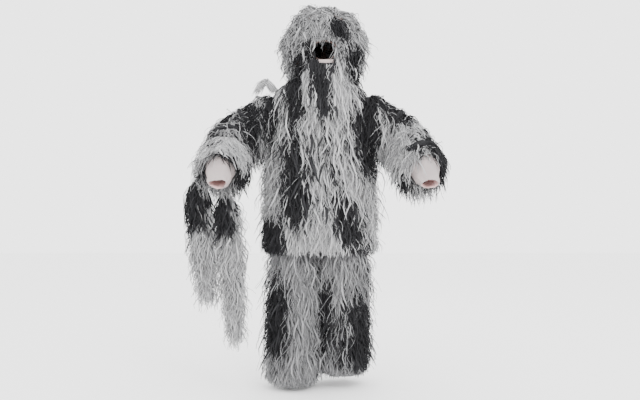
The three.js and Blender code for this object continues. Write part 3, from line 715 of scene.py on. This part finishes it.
# Its front yarn ends at the top of the eye opening, but for a few thin ones that hang across it
count = density(1100)
slant, climb = random.uniform(-0.50, 0.46, count), random.uniform(0.05, 0.86, count)
brow_out = np.stack([np.sin(slant) * np.cos(climb), -np.cos(slant) * np.cos(climb), np.sin(climb)], -1)
brow_roots = CROWN_MIDDLE + brow_out * (CROWN_HALF - 0.010)
brow_roots += brow_out * hood_lumps(brow_roots)[:, None]
EYE_TOP = EYE_MIDDLE[1] + EYE_HALF[1]
fleece("brow", brow_roots, brow_out, HOOD_PATCHES, WHITE_YARN, 44, [push_out_of_crown, push_hood],
       riding("hood"), lock=(0.006, 0.014), lock_length=(0.04, 0.09), yarn_length=(0.03, 0.09), sway=0.3,
       tones=HOOD_TONES, lowest=EYE_TOP - 0.012)
stray = random.permutation(count)[:density(60)]
GREY_YARN = yarn("grey_yarn_locks", (0.050, 0.050, 0.053), (0.31, 0.31, 0.316))
fleece("brow_strays", brow_roots[stray], brow_out[stray], HOOD_PATCHES, GREY_YARN, 48,
       [push_out_of_crown, push_hood], riding("hood"), yarns=(0.0013, 0.0024), share_of_locks=0,
       yarn_length=(0.08, 0.16), sway=0.25, lowest=EYE_MIDDLE[1] - 0.02, slot="grey_yarn")
TEMPLE_PATCHES = [(-0.052, 0.026, 0.200, 0.020, 0.00, FRONT)]
TEMPLE_DEPTH = 0.158
temples = []
for middle, reach in ((-0.050, 0.026), (0.092, 0.018)):
    x = middle + random.uniform(-reach, reach, density(130))
    z = random.uniform(0.080, 0.185, len(x))
    y = CROWN_MIDDLE[1] - TEMPLE_DEPTH * np.sqrt(1 - ((x - CROWN_MIDDLE[0]) / CROWN_HALF[0]) ** 2)
    temples.append(np.stack([x, y, z], -1))
temples = np.vstack(temples)
fleece("temple", temples, unit((temples - CROWN_MIDDLE) * [1, 1, 0]), HOOD_PATCHES + TEMPLE_PATCHES, WHITE_YARN,
       49, [push_out_of_crown, push_hood], riding("hood"), lock=(0.006, 0.012), lock_length=(0.05, 0.10),
       yarn_length=(0.05, 0.11), sway=0.3, tones=HOOD_TONES, lowest=-0.05)

# Stray curls stand out from the hood all round, white and black, with black knobs among them
CURL_PATCHES = [(0.02, 0.20, 0.50, -0.20, 0.0, FRONT), (0.02, 0.20, 0.50, -0.20, 0.0, BACK)]
ALL_BLACK = [(0.0, 3.0, 3.0, -3.0, 0.0, FRONT), (0.0, 3.0, 3.0, -3.0, 0.0, BACK)]
roots, outward = scatter(HOOD, density(260), draws(46), (0, 1), (0.1, 0.9))
tips = random.permutation(count)[:density(380)]
curls, curls_out = np.vstack([roots, crown_roots[tips]]), np.vstack([outward, direction[tips]])
away = (np.abs(curls[:, 0] - EYE_MIDDLE[0]) > 0.09) | (curls[:, 1] > 0) | (curls[:, 2] > 0.22)
fleece("hood_curls", curls[away], curls_out[away], CURL_PATCHES, WHITE_YARN, 47, [], riding("hood"),
       lock=(0.005, 0.009), yarns=(0.0022, 0.0036), lock_length=(0.03, 0.06), yarn_length=(0.03, 0.07),
       sway=1.1, start=1.6, weight=0.12, share_of_locks=0.4, tones=HOOD_TONES, ragged=1.4)
knobs = random.permutation(len(curls))[:density(75)]
knobs = knobs[away[knobs]]
fleece("hood_knobs", curls[knobs], curls_out[knobs], ALL_BLACK, BLACK_YARN, 50, [], riding("hood"),
       lock=(0.010, 0.017), share_of_locks=1, lock_length=(0.020, 0.034), sway=1.3, start=2.0, weight=0.1)

# Cape of the hood: a short skirt of the same net and yarn round the hood's foot. It lies on the shoulders,
# and stays there when the hood is put back.

CAPE = upright([[0.012, 0.135, 0.132], [-0.010, 0.152, 0.140], [-0.030, 0.185, 0.155], [-0.053, 0.212, 0.165]])
cape = ground("cape_ground", CAPE, HOOD_PATCHES, WHITE_MAT, 51, lift=-0.010, depth=0.014)
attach(cape, "jacket")
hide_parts("hood_cape")
push_cape = clear_of(CAPE)
roots, outward = scatter(CAPE, density(1900), draws(52))
fleece("cape", roots, outward, HOOD_PATCHES + JACKET_PATCHES, WHITE_YARN, 53, [push_cape, push_body],
       riding("jacket"), lock_length=(0.07, 0.15), yarn_length=(0.05, 0.13))

# A rope of loose yarn arches out over the right shoulder
TUFT_ROOT, TUFT_TIP = np.array([-0.215, -0.050, -0.050]), np.array([-0.300, -0.060, -0.062])
random = draws(55)
count = density(60)
share = np.linspace(0, 1, 8)[None, :, None]
start = TUFT_ROOT + random.normal(0, 0.008, (count, 1, 3))
finish = TUFT_TIP + random.normal(0, 0.010, (count, 1, 3))
paths = start + (finish - start) * share + [0, 0, 0.050] * np.sin(math.pi * share) + 0.002 * random.normal(
    size=(count, 8, 3))
tuft = strands("shoulder_tuft", paths, random.uniform(0.004, 0.009, count), 0.7, 5, LOCK_TAPER, WHITE_YARN,
               random, JACKET_TONES)
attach(tuft, "jacket")

# Face veil: a white band below the eyes, with a black tuft hanging from its middle over the chin and a white
# sheet of yarn beside it. It lifts with its band.

VEIL = form((0.019, 0.14, 0.072), (0.019, 0.14, -0.180),
            [[0, 0.280, 0.318], [0.35, 0.280, 0.332], [1, 0.280, 0.342]], (1, 0, 0))
VEIL_TURN = 0.045
VEIL_PATCHES = [(0.004, 0.043, 0.130, -0.090, 0.00, FRONT), (0.036, 0.024, -0.010, -0.190, 0.06, FRONT)]
push_veil = clear_of(VEIL)


def to_tongue(grids):
    """The veil narrows to a tip: points are drawn in across, more the lower they are."""
    down = np.clip((0.072 - grids[..., 2]) / 0.252, 0, 1)
    narrow = np.interp(down, [0, 0.25, 0.6, 0.85, 1], [0.85, 1.05, 0.95, 0.6, 0.2])
    result = grids.copy()
    result[..., 0] = 0.019 + (grids[..., 0] - 0.019) * narrow
    return result


veil = ground("veil_ground", VEIL, VEIL_PATCHES, WHITE_MAT, 61, turns=(-VEIL_TURN, VEIL_TURN), shares=(0.04, 1),
              lift=-0.008, depth=0.014, rim=0.010, step=0.005, reshape=to_tongue)
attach(veil, "face_veil")
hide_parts("veil_pile")
roots, outward = scatter(VEIL, density(1500), draws(62), (-VEIL_TURN, VEIL_TURN), (0.05, 0.72))
roots = to_tongue(roots)
fleece("veil", roots, outward, VEIL_PATCHES, WHITE_YARN, 63, [push_veil], riding("face_veil"),
       lock=(0.009, 0.018), lock_length=(0.06, 0.12), yarn_length=(0.05, 0.12), sway=0.25, spread=0.006)
EDGE_TURN = (0.025, 0.036)        # its ends, where yarn hangs from above the band and covers it
roots, outward = together(
    scatter(VEIL, density(70), draws(64), EDGE_TURN, (-0.04, 0.06), lift=0.002),
    scatter(VEIL, density(110), draws(65), (-EDGE_TURN[1], -EDGE_TURN[0] * 0.62), (-0.04, 0.06),
            lift=0.002))
fleece("veil_ends", roots, outward, VEIL_PATCHES, WHITE_YARN, 66, [push_veil], riding("face_veil"),
       lock=(0.008, 0.014), lock_length=(0.05, 0.10), yarn_length=(0.04, 0.10), sway=0.2, start=0.2,
       spread=0.008)

# Sleeves: tubes of the same net, sewn to the jacket at the shoulders. Their yarn is tied in overlapping
# tiers, and hangs below the arm.


def arm(elbow, mouth, side):
    """The upper sleeve and the forearm of one arm."""
    shoulder = np.array([side * 0.207, 0, -0.143])
    return (form(shoulder, elbow, [[0, 0.092, 0.092], [1, 0.088, 0.088]], (0, 0, 1)),
            form(elbow, mouth, [[0, 0.088, 0.088], [0.78, 0.082, 0.082], [1, 0.060, 0.060]], (0, 0, 1)))


ARMS = {"right": arm((-0.420, -0.060, -0.277), (-0.443, -0.360, -0.477), -1),
        "left": arm((0.405, -0.050, -0.273), (0.482, -0.330, -0.476), 1)}
ARM_PATCHES = {
    "right": [
        (-0.325, 0.048, -0.060, -0.310, -0.01, FRONT), (-0.226, 0.024, -0.040, -0.300, 0.00, FRONT),
        (-0.440, 0.050, -0.165, -0.205, 0.00, FRONT), (-0.360, 0.030, -0.330, -0.450, 0.03, FRONT),
        (-0.480, 0.055, -0.245, -0.275, 0.00, FRONT), (-0.530, 0.030, -0.330, -0.440, 0.00, FRONT),
        (-0.415, 0.030, -0.290, -0.400, -0.02, FRONT),
        (-0.330, 0.050, -0.060, -0.330, 0.00, BACK), (-0.500, 0.020, -0.260, -0.420, 0.00, BACK),
    ],
    "left": [
        (0.222, 0.056, 0.020, -0.370, 0.01, FRONT),
        (0.365, 0.060, -0.060, -0.200, 0.02, FRONT), (0.550, 0.085, -0.200, -0.480, 0.02, FRONT),
        (0.365, 0.035, -0.400, -0.580, 0.00, FRONT),
        (0.340, 0.050, -0.060, -0.330, 0.00, BACK), (0.520, 0.060, -0.250, -0.400, 0.00, BACK),
    ],
}

for seed, side in enumerate(("right", "left")):
    upper, fore = ARMS[side]
    elbow = upper["b"]
    middle = (upper["a"] + elbow) / 2
    clear_of_arm = [clear_of(upper), clear_of(fore)]
    at_shoulder = bending()
    at_elbow = bending()
    patches = ARM_PATCHES[side]
    cap = ground(f"{side}_shoulder_ground", upper, patches, WHITE_MAT, 71 + seed, shares=(-0.05, 0.60),
                 depth=0.022)
    at_shoulder(cap)
    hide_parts(f"{side}_shoulder_gusset")
    bend_form = form(middle, elbow + 0.05 * fore["along"], [[0, 0.088, 0.088], [1, 0.088, 0.088]], (0, 0, 1))
    sleeve = ground(f"{side}_elbow_ground", bend_form, patches, WHITE_MAT, 73 + seed, depth=0.022)
    at_elbow(sleeve)
    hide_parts(f"{side}_upper_sleeve", f"{side}_elbow_gusset")
    forearm = ground(f"{side}_forearm_ground", fore, patches, WHITE_MAT, 75 + seed, shares=(-0.04, 0.70),
                     depth=0.022)
    at_elbow(forearm)
    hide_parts(f"{side}_forearm_sleeve")
    random = draws(77 + seed)
    long_yarn = dict(lock_length=(0.06, 0.15), yarn_length=(0.05, 0.14), tones=SLEEVE_TONES[side])
    roots, outward = scatter(upper, density(1900), random, (0, 1), (-0.02, 0.5))
    fleece(f"{side}_shoulder", roots, outward, patches, WHITE_YARN, 79 + seed, clear_of_arm + [push_body],
           at_shoulder, **long_yarn)
    roots, outward = together(scatter(upper, density(1500), random, (0, 1), (0.5, 1)),
                              scatter(fore, density(2600), random, (0, 1), (0.0, 0.70)))
    fleece(f"{side}_forearm", roots, outward, patches, WHITE_YARN, 81 + seed, clear_of_arm, at_elbow,
           **long_yarn)
    roots, outward = together(scatter(upper, density(160), random, (0, 1), (0.5, 1)),
                              scatter(fore, density(260), random, (0, 1), (0.0, 0.70)))
    fleece(f"{side}_sleeve_curls", roots, outward, CURL_PATCHES, WHITE_YARN, 85 + seed, clear_of_arm, at_elbow,
           lock=(0.005, 0.009), lock_length=(0.03, 0.07), yarn_length=(0.04, 0.09), sway=1.1, start=1.6,
           weight=0.15, tones=SLEEVE_TONES[side], ragged=1.4)

# Tiers: ropes of black yarn tied round the sleeves, each an arc over the top of the arm. The arm's turn of a
# quarter is its top, and a half is its outer side.

TIERS = {"right": [(1, 0.60, 0.10, 0.50, 0.010), (1, 0.16, 0.02, 0.46, 0.006), (0, 0.62, 0.05, 0.40, 0.009),
                   (1, 0.72, 0.42, 0.56, 0.018)],
         "left": [(1, 0.56, 0.12, 0.54, 0.014), (0, 0.66, 0.10, 0.42, 0.013)]}
OVER_CUFF = {"right": 110, "left": 300}
for seed, side in enumerate(("right", "left")):
    random = draws(131 + seed)
    upper, fore = ARMS[side]
    ropes = {0: [], 1: []}
    for which, share, first, last, thick in TIERS[side]:
        count = density(70)
        turn = np.linspace(first, last, 16)[None, :] + random.normal(0, 0.012, (count, 1))
        ripple = 0.020 * np.sin(turn * 19 + share * 9) + random.normal(0, thick / 0.7, (count, 1))
        lift = (random.uniform(0.000, 0.014, (count, 1))
                + 0.003 * np.sin(turn * 60 + random.uniform(0, 6, (count, 1))))
        ropes[which].append(on_form(ARMS[side][which], turn, share + ripple, lift + 0 * turn))
    for which, paths in ropes.items():
        if paths:
            paths = np.clip(np.concatenate(paths), ROOM[0], ROOM[1])
            name = f"{side}_{('upper', 'fore')[which]}_tiers"
            rope = strands(name, paths, random.uniform(0.004, 0.010, len(paths)), 0.7, 5, LOCK_TAPER,
                           BLACK_YARN, random)
            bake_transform(rope)
    # Black yarn hangs from the outer side of the sleeve, beside the cuff
    roots, outward = scatter(fore, density(OVER_CUFF[side]), random, (0.26, 0.56), (0.42, 0.66), lift=0.006)
    fleece(f"{side}_over_cuff", roots, outward, ALL_BLACK, BLACK_YARN, 133 + seed, [clear_of(fore)],
           riding(f"{side}_forearm"), lock=(0.007, 0.015), lock_length=(0.05, 0.09), yarn_length=(0.04, 0.10),
           spread=0.014, sway=0.4, start=0.7)
    # Pale yarn hangs past the cuff on both sides
    roots, outward = scatter(fore, density(240), random, (0.50, 1.0), (0.62, 0.72), lift=0.000)
    fleece(f"{side}_cuff_fringe", roots, outward, ARM_PATCHES[side], WHITE_YARN, 135 + seed, [clear_of(fore)],
           riding(f"{side}_forearm"), lock_length=(0.05, 0.11), yarn_length=(0.05, 0.12),
           tones=SLEEVE_TONES[side])

# Under-cuffs: thin smooth knit, white and faintly warm, that shows past the yarn of each sleeve. It is
# gathered onto an elastic at its mouth, and turns in over it.


def knit(name, base, shade, size, distance):
    """Plain cloth with a soft mottle and a fine weave, on Object coordinates."""
    material, tree, shader = principled(name, base, 0.85)
    place = add_node(tree, "TexCoord")
    cloud = add_node(tree, "TexNoise", Scale=18, Detail=4)
    weave = add_node(tree, "TexNoise", Scale=size)
    for noise in (cloud, weave):
        tree.links.new(place.outputs["Object"], noise.inputs["Vector"])
    mix = colour_mix(tree, cloud.outputs["Fac"])
    mix.inputs[MIX_LOW].default_value = (*shade, 1)
    mix.inputs[MIX_HIGH].default_value = (*base, 1)
    tree.links.new(mix.outputs[MIX_RESULT], shader.inputs["Base Color"])
    bump(tree, shader, weave.outputs["Fac"], distance)
    return material


PALE_KNIT = knit("pale_knit", (0.37, 0.325, 0.32), (0.31, 0.26, 0.255), 900, 0.0006)
INSIDE_CUFF = knit("cuff_inside", (0.62, 0.47, 0.45), (0.55, 0.30, 0.29), 500, 0.0006)

CUFF_COLUMNS = 72
FIRST_INSIDE = 11                 # the first row of its outline that is inside the mouth
for seed, side in enumerate(("right", "left")):
    fore = ARMS[side][1]
    # The outline is [how far past the mouth, radius], out along the cuff and back inside it
    outline = [[-0.170, 0.056], [-0.130, 0.061], [-0.100, 0.064], [-0.080, 0.063], [-0.062, 0.060],
               [-0.046, 0.056], [-0.032, 0.052], [-0.020, 0.047], [-0.010, 0.043], [-0.003, 0.0395],
               [0.000, 0.0375], [-0.002, 0.0360], [-0.010, 0.0355], [-0.030, 0.040], [-0.070, 0.048],
               [-0.170, 0.051]]
    turn = np.arange(CUFF_COLUMNS)[None, :] / CUFF_COLUMNS + np.zeros((len(outline), 1))
    back = np.array(outline)[:, :1] + 0 * turn
    radius = np.array(outline)[:, 1:] + 0 * turn
    angle = 2 * math.pi * turn
    gather = np.sin(13 * angle + 2 * np.sin(angle)) + 0.7 * np.sin(7 * angle + 1.3)
    crease = np.sin(3 * angle + 130 * back + 9 * seed) + 0.7 * np.sin(2 * angle - 75 * back + 1)
    radius = radius + 0.0012 * gather * np.interp(back, [-0.08, -0.01], [0.2, 1]) + 0.0030 * crease
    shut = (np.interp(back, [-0.060, 0], [1.05, 0.62])
            + 0.10 * np.sin(angle + 2.2) * np.interp(back, [-0.05, 0], [0, 1]))
    sag = np.interp(back, [-0.070, 0], [0, -0.020])
    points = (fore["b"] + back[..., None] * fore["along"]
              + (radius * shut * np.sin(angle) + sag)[..., None] * fore["across"]
              + (radius * np.cos(angle))[..., None] * fore["deep"])
    number = np.arange(turn.size).reshape(turn.shape)
    beside = np.roll(number, -1, 1)
    below = np.roll(number, -1, 0)
    quads = np.stack([number, beside, np.roll(beside, -1, 0), below], -1).reshape(-1, 4)
    cuff = mesh_object(f"{side}_cuff", points.reshape(-1, 3), quads, PALE_KNIT)
    cuff.data.materials.append(INSIDE_CUFF)
    rows = np.repeat(np.arange(len(outline)), CUFF_COLUMNS)
    cuff.data.polygons.foreach_set("material_index", (rows >= FIRST_INSIDE).astype(np.int32))
    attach(cuff, f"{side}_forearm")
    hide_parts(f"{side}_under_cuff", f"{side}_cuff_elastic")

# Trousers: two legs of the same net with greyer yarn, on a plain seat with a cloth waistband. The left hem
# hangs a little higher than the right.

GREY_MAT = matted("grey_matted_yarn", (0.042, 0.042, 0.044), (0.24, 0.24, 0.246))
LEG_STATIONS = [[0, 0.100, 0.108], [0.16, 0.101, 0.112], [0.37, 0.103, 0.117], [1, 0.103, 0.119]]
LEG_ENDS = {"right": -1.435, "left": -1.395}
LEGS = {"right": form((-0.108, 0, -0.559), (-0.132, -0.022, -1.440), LEG_STATIONS, (1, 0, 0)),
        "left": form((0.102, 0, -0.559), (0.110, 0.030, -1.400), LEG_STATIONS, (1, 0, 0))}
LEG_PATCHES = [
    (-0.195, 0.042, -0.860, -1.260, -0.01, FRONT), (0.022, 0.036, -0.880, -1.230, -0.01, FRONT),
    (0.168, 0.062, -0.930, -1.330, 0.02, FRONT), (-0.010, 0.026, -1.220, -1.330, 0.00, FRONT),
    (-0.150, 0.055, -0.850, -1.180, 0.02, BACK), (0.080, 0.050, -1.050, -1.420, 0.03, BACK),
    (0.190, 0.045, -0.760, -1.000, 0.00, BACK),
]

for seed, side in enumerate(("right", "left")):
    leg = LEGS[side]
    at_hip = bending()
    at_knee = bending()
    hip = ground(f"{side}_hip_ground", leg, LEG_PATCHES, GREY_MAT, 101 + seed, shares=(0, 0.17), step=0.012)
    at_hip(hip)
    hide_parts(f"{side}_hip_gusset")
    trouser = ground(f"{side}_leg_ground", leg, LEG_PATCHES, GREY_MAT, 103 + seed, shares=(0.165, 0.985),
                     depth=0.024)
    at_knee(trouser)
    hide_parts(f"{side}_thigh", f"{side}_knee_gusset", f"{side}_shin")
    random = draws(105 + seed)
    roots, outward = together(scatter(leg, density(6000), random, (0, 1), (0.24, 0.95)),
                              scatter(leg, density(520), random, (0, 1), (0.88, 0.975)))
    fleece(f"{side}_leg", roots, outward, LEG_PATCHES, GREY_YARN, 107 + seed, [clear_of(leg)], at_knee,
           lock_length=(0.08, 0.19), yarn_length=(0.06, 0.16), slot="grey_yarn", lowest=LEG_ENDS[side])

# Yarn wrap: a long strip of net, thick with yarn, that lies over the right forearm as a saddle. Its two
# ends hang in bunches, and each swings by itself.

TAILS = {
    "outer": form((-0.556, -0.198, -0.470), (-0.508, -0.198, -1.000),
                  [[0, 0.016, 0.016], [0.14, 0.040, 0.040], [0.5, 0.046, 0.046], [1, 0.014, 0.014]], (1, 0, 0)),
    "inner": form((-0.424, -0.198, -0.535), (-0.374, -0.198, -1.190),
                  [[0, 0.026, 0.026], [0.12, 0.048, 0.048], [0.5, 0.049, 0.049], [1, 0.012, 0.012]], (1, 0, 0)),
}
TAIL_PATCHES = {
    "outer": [(-0.560, 0.038, -0.440, -0.690, 0.00, FRONT), (-0.535, 0.040, -0.700, -0.860, 0.00, BACK)],
    "inner": [(-0.432, 0.034, -0.520, -0.715, 0.00, FRONT), (-0.404, 0.044, -0.900, -1.050, 0.00, BACK)],
}

fore = ARMS["right"][1]
fore_length = float(np.linalg.norm(fore["b"] - fore["a"]))
SADDLE_SHARES = (0.155 / fore_length, 0.275 / fore_length)
saddle_form = form(fore["a"], fore["b"], [[0, 0.104, 0.104], [1, 0.102, 0.102]], (0, 0, 1))
saddle = ground("saddle_ground", saddle_form, TAIL_PATCHES["outer"], WHITE_MAT, 111, turns=(0.02, 0.56),
                shares=SADDLE_SHARES, lift=-0.006, depth=0.014, rim=0.010)
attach(saddle, "rifle_wrap")
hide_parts("wrap_saddle")
push_saddle = clear_of(saddle_form)
roots, outward = scatter(saddle_form, density(500), draws(112), (0.02, 0.56), SADDLE_SHARES)
fleece("saddle", roots, outward, TAIL_PATCHES["outer"], WHITE_YARN, 113, [push_saddle], riding("rifle_wrap"),
       lock_length=(0.05, 0.10), yarn_length=(0.05, 0.10))

for seed, name in enumerate(("outer", "inner")):
    tail_form = TAILS[name]
    tail = ground(f"{name}_tail_ground", tail_form, TAIL_PATCHES[name], WHITE_MAT, 121 + seed, shares=(0, 0.97),
                  lift=-0.010, depth=0.016, rim=0.004)
    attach(tail, f"wrap_{name}_end")
    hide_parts(f"wrap_{name}_tail")
    roots, outward = scatter(tail_form, density(1700), draws(123 + seed), (0, 1), (0, 0.93),
                             lift=-0.008)
    fleece(f"{name}_tail", roots, outward, TAIL_PATCHES[name], WHITE_YARN, 125 + seed, [clear_of(tail_form)],
           riding(f"wrap_{name}_end"), lock=(0.008, 0.018), lock_length=(0.06, 0.13), yarn_length=(0.05, 0.13),
           spread=0.006, sway=0.4)

# Small parts shown in their plain shape: net linings, cloth strips, elastics, cords and snaps. Each has the
# finish of its own stuff: knitted or netted cloth, woven webbing, or pressed steel.

WHITE_CLOTH = knit("white_cloth", (0.42, 0.36, 0.35), (0.36, 0.29, 0.28), 700, 0.0006)
DARK_NET = knit("dark_net_cloth", (0.100, 0.060, 0.050), (0.045, 0.028, 0.024), 500, 0.0010)
PALE_NET = knit("pale_net_cloth", (0.60, 0.60, 0.59), (0.38, 0.38, 0.37), 500, 0.0010)
WEBBING = knit("elastic_webbing", (0.44, 0.40, 0.39), (0.36, 0.32, 0.31), 1200, 0.0008)
STEEL, steel_tree, steel = principled("snap_steel", (0.45, 0.45, 0.46), 0.35, 1.0)
scratches = add_node(steel_tree, "TexNoise", Scale=400)
wear = add_node(steel_tree, "MapRange", To_Min=0.25, To_Max=0.45)
steel_place = add_node(steel_tree, "TexCoord")
steel_tree.links.new(steel_place.outputs["Object"], scratches.inputs["Vector"])
steel_tree.links.new(scratches.outputs["Fac"], wear.inputs["Value"])
steel_tree.links.new(wear.outputs["Result"], steel.inputs["Roughness"])

FINISHES = {
    "pale_cloth": WHITE_CLOTH, "dark_net": DARK_NET, "pale_net": PALE_NET, "elastic_web": WEBBING,
    "snap_metal": STEEL, "grey_yarn": GREY_MAT, "white_yarn": WHITE_MAT, "black_yarn": BLACK_YARN,
}
FINISH_OF = {entry["node"]: entry["material_slot"] for entry in frame["record"]["subparts"]}
for name, node in frame["nodes"].items():
    if not node.hide_render:
        node.data.materials.clear()
        node.data.materials.append(FINISHES[FINISH_OF[name]])
